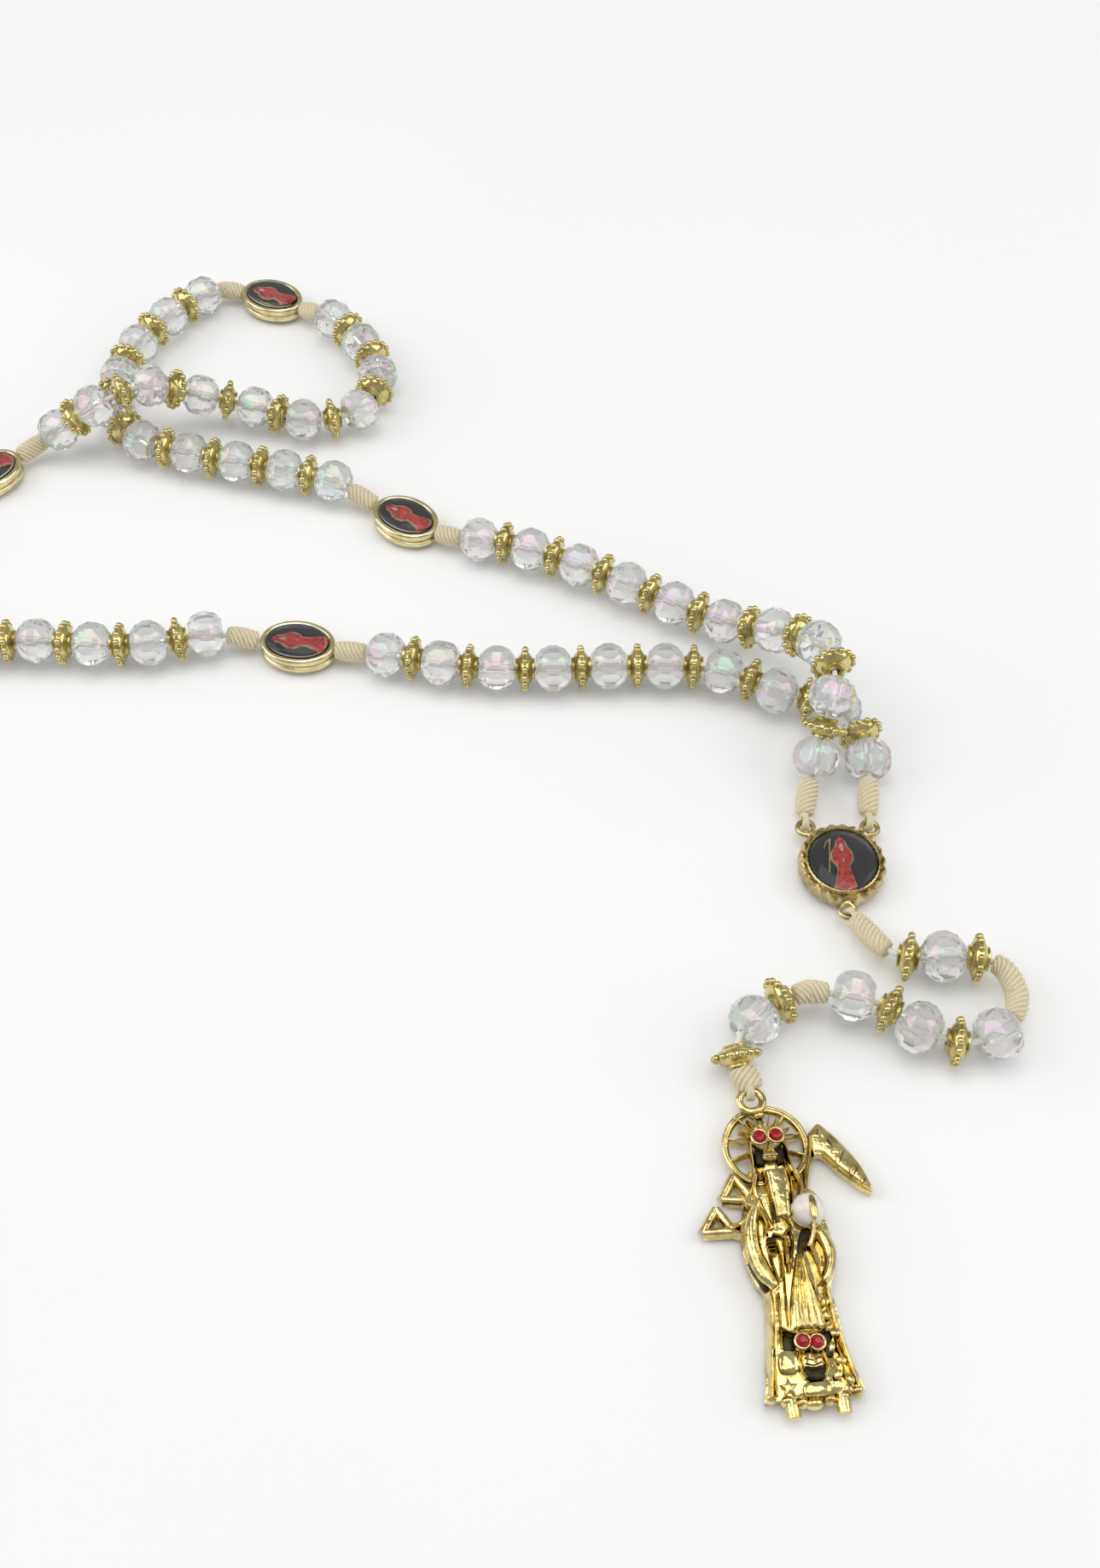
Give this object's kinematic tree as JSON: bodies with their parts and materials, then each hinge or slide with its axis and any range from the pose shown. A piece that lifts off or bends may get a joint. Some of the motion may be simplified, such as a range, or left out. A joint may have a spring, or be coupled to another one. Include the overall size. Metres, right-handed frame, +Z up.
{
  "type": "rosary",
  "caption": "Corded rosary of faceted glass beads and gold spacers with oval medals, a centre medal, and a cast robed-figure pendant.",
  "frame": {"origin": "middle of the centre medal's back face, on the table", "axes": "+Y up the loop away from the pendant, +Z up off the table, +X to the right of the centre medal"},
  "size_m": [0.202, 0.2356, 0.0178],
  "materials": {
    "crystal_glass": "clear faceted glass with an iridescent coat",
    "gold_spacer": "bright polished pale gold plate",
    "ivory_thread": "wound waxed thread",
    "ivory_cord": "twisted cord",
    "antique_gold": "antiqued cast gold plate",
    "polished_gold": "polished pale gold plate",
    "picture_enamel": "printed dark picture",
    "clear_dome": "clear domed resin",
    "bright_gold": "bright polished cast gold plate",
    "pearl": "pearl lustre",
    "red_stone": "faceted red glass"
  },
  "bodies": {
    "centre": {"centre_medal_frame": "antique_gold", "centre_medal_picture": "picture_enamel", "centre_medal_dome": "clear_dome"},
    "decade_1": {"crystals_1": "crystal_glass", "spacers_1": "gold_spacer", "wraps_1": "ivory_thread", "core_cord_1": "ivory_cord"},
    "decade_2": {"crystals_2": "crystal_glass", "spacers_2": "gold_spacer", "wraps_2": "ivory_thread", "core_cord_2": "ivory_cord"},
    "decade_3": {"crystals_3": "crystal_glass", "spacers_3": "gold_spacer", "wraps_3": "ivory_thread", "core_cord_3": "ivory_cord"},
    "decade_4": {"crystals_4": "crystal_glass", "spacers_4": "gold_spacer", "wraps_4": "ivory_thread", "core_cord_4": "ivory_cord"},
    "decade_5": {"crystals_5": "crystal_glass", "spacers_5": "gold_spacer", "wraps_5": "ivory_thread", "core_cord_5": "ivory_cord"},
    "medal_1": {"medal_1_frame": "polished_gold", "medal_1_picture": "picture_enamel", "medal_1_dome": "clear_dome"},
    "medal_2": {"medal_2_frame": "polished_gold", "medal_2_picture": "picture_enamel", "medal_2_dome": "clear_dome"},
    "medal_3": {"medal_3_frame": "polished_gold", "medal_3_picture": "picture_enamel", "medal_3_dome": "clear_dome"},
    "medal_4": {"medal_4_frame": "polished_gold", "medal_4_picture": "picture_enamel", "medal_4_dome": "clear_dome"},
    "tail_a": {"tail_wrap_1": "ivory_thread", "tail_core_a": "ivory_cord", "tail_wrap_2_upper": "ivory_thread"},
    "tail_b": {"tail_wrap_2_lower": "ivory_thread", "tail_core_b": "ivory_cord", "tail_wrap_3_upper": "ivory_thread"},
    "tail_c": {"tail_wrap_3_lower": "ivory_thread", "tail_core_c": "ivory_cord", "tail_wrap_4": "ivory_thread"},
    "pendant": {"pendant_body": "bright_gold", "pendant_pearl": "pearl", "skull_stones": "red_stone", "owl_stones": "red_stone"},
    "tail_crystal_1": {"tail_crystal_1": "crystal_glass"},
    "tail_crystal_2": {"tail_crystal_2": "crystal_glass"},
    "tail_crystal_3": {"tail_crystal_3": "crystal_glass"},
    "tail_crystal_4": {"tail_crystal_4": "crystal_glass"},
    "tail_crystal_5": {"tail_crystal_5": "crystal_glass"},
    "tail_spacer_1": {"tail_spacer_1": "gold_spacer"},
    "tail_spacer_2": {"tail_spacer_2": "gold_spacer"},
    "tail_spacer_3": {"tail_spacer_3": "gold_spacer"},
    "tail_spacer_4": {"tail_spacer_4": "gold_spacer"},
    "tail_spacer_5": {"tail_spacer_5": "gold_spacer"},
    "tail_spacer_6": {"tail_spacer_6": "gold_spacer"}
  },
  "joints": [
    {"name": "decade_1_lift", "type": "hinge", "parent": "centre", "child": "decade_1", "pos_m": [-0.0052, 0.0085, 0.0017], "axis": [1, 0, 0], "range_deg": [0, 50]},
    {"name": "decade_2_lift", "type": "hinge", "parent": "decade_1", "child": "decade_2", "pos_m": [-0.0795, 0.0817, 0.0033], "axis": [0.5577, 0.83, 0], "range_deg": [0, 45]},
    {"name": "decade_3_lift", "type": "hinge", "parent": "decade_2", "child": "decade_3", "pos_m": [-0.0985, 0.13965, 0.0033], "axis": [-1, 0, 0], "range_deg": [0, 40]},
    {"name": "decade_5_drop", "type": "hinge", "parent": "centre", "child": "decade_5", "pos_m": [0.0052, 0.0085, 0.0017], "axis": [1, 0, 0], "range_deg": [-45, 0]},
    {"name": "decade_4_lift", "type": "hinge", "parent": "decade_5", "child": "decade_4", "pos_m": [-0.0981, 0.0477, 0.0033], "axis": [0, 1, 0], "range_deg": [0, 45]},
    {"name": "medal_1_spin", "type": "hinge", "parent": "decade_1", "child": "medal_1", "pos_m": [-0.07367, 0.07775, 0.0017], "axis": [-0.83, 0.5577, 0], "continuous": true},
    {"name": "medal_2_spin", "type": "hinge", "parent": "decade_2", "child": "medal_2", "pos_m": [-0.10477, 0.14279, 0.0017], "axis": [0.8944, -0.4472, 0], "continuous": true},
    {"name": "medal_3_spin", "type": "hinge", "parent": "decade_3", "child": "medal_3", "pos_m": [-0.15406, 0.09019, 0.0017], "axis": [-0.7107, -0.7035, 0], "continuous": true},
    {"name": "medal_4_spin", "type": "hinge", "parent": "decade_5", "child": "medal_4", "pos_m": [-0.09118, 0.04663, 0.0017], "axis": [-0.9878, 0.1556, 0], "continuous": true},
    {"name": "tail_swing", "type": "hinge", "parent": "centre", "child": "tail_a", "pos_m": [0, -0.0087, 0.0017], "axis": [0, 0, 1], "range_deg": [-30, 30]},
    {"name": "tail_bend_2", "type": "hinge", "parent": "tail_a", "child": "tail_b", "pos_m": [0.0236, -0.0252, 0.004], "axis": [0, 0, 1], "range_deg": [-8, 45]},
    {"name": "tail_bend_3", "type": "hinge", "parent": "tail_b", "child": "tail_c", "pos_m": [-0.0076, -0.0246, 0.004], "axis": [0, 0, 1], "range_deg": [-30, 30]},
    {"name": "pendant_swing", "type": "hinge", "parent": "tail_c", "child": "pendant", "pos_m": [-0.0175, -0.0418, 0.002], "axis": [0, 0, 1], "range_deg": [-30, 30]},
    {"name": "tail_spacer_1_spin", "type": "hinge", "parent": "tail_a", "child": "tail_spacer_1", "pos_m": [0.00802, -0.01841, 0.00387], "axis": [0.9639, -0.2561, 0.0732], "continuous": true},
    {"name": "tail_crystal_1_spin", "type": "hinge", "parent": "tail_a", "child": "tail_crystal_1", "pos_m": [0.01341, -0.01847, 0.004], "axis": [0.9982, 0.0606, 0], "continuous": true},
    {"name": "tail_spacer_2_spin", "type": "hinge", "parent": "tail_a", "child": "tail_spacer_2", "pos_m": [0.01854, -0.01872, 0.004], "axis": [0.9926, -0.1211, 0], "continuous": true},
    {"name": "tail_crystal_2_spin", "type": "hinge", "parent": "tail_b", "child": "tail_crystal_2", "pos_m": [0.01966, -0.03184, 0.004], "axis": [-0.8601, -0.5101, 0], "continuous": true},
    {"name": "tail_spacer_3_spin", "type": "hinge", "parent": "tail_b", "child": "tail_spacer_3", "pos_m": [0.01345, -0.03318, 0.004], "axis": [-0.982, 0.189, 0], "continuous": true},
    {"name": "tail_crystal_3_spin", "type": "hinge", "parent": "tail_b", "child": "tail_crystal_3", "pos_m": [0.00816, -0.03071, 0.004], "axis": [-0.821, 0.5709, 0], "continuous": true},
    {"name": "tail_spacer_4_spin", "type": "hinge", "parent": "tail_b", "child": "tail_spacer_4", "pos_m": [0.0041, -0.02758, 0.004], "axis": [-0.8502, 0.5265, 0], "continuous": true},
    {"name": "tail_crystal_4_spin", "type": "hinge", "parent": "tail_b", "child": "tail_crystal_4", "pos_m": [-0.00112, -0.02543, 0.004], "axis": [-0.9723, 0.2336, 0], "continuous": true},
    {"name": "tail_spacer_5_spin", "type": "hinge", "parent": "tail_c", "child": "tail_spacer_5", "pos_m": [-0.0122, -0.0262, 0.004], "axis": [-0.8402, -0.5423, 0], "continuous": true},
    {"name": "tail_crystal_5_spin", "type": "hinge", "parent": "tail_c", "child": "tail_crystal_5", "pos_m": [-0.01631, -0.02947, 0.00395], "axis": [-0.6847, -0.7284, -0.0263], "continuous": true},
    {"name": "tail_spacer_6_spin", "type": "hinge", "parent": "tail_c", "child": "tail_spacer_6", "pos_m": [-0.01928, -0.03503, 0.0031], "axis": [0.1626, -0.9216, -0.3524], "continuous": true}
  ]
}
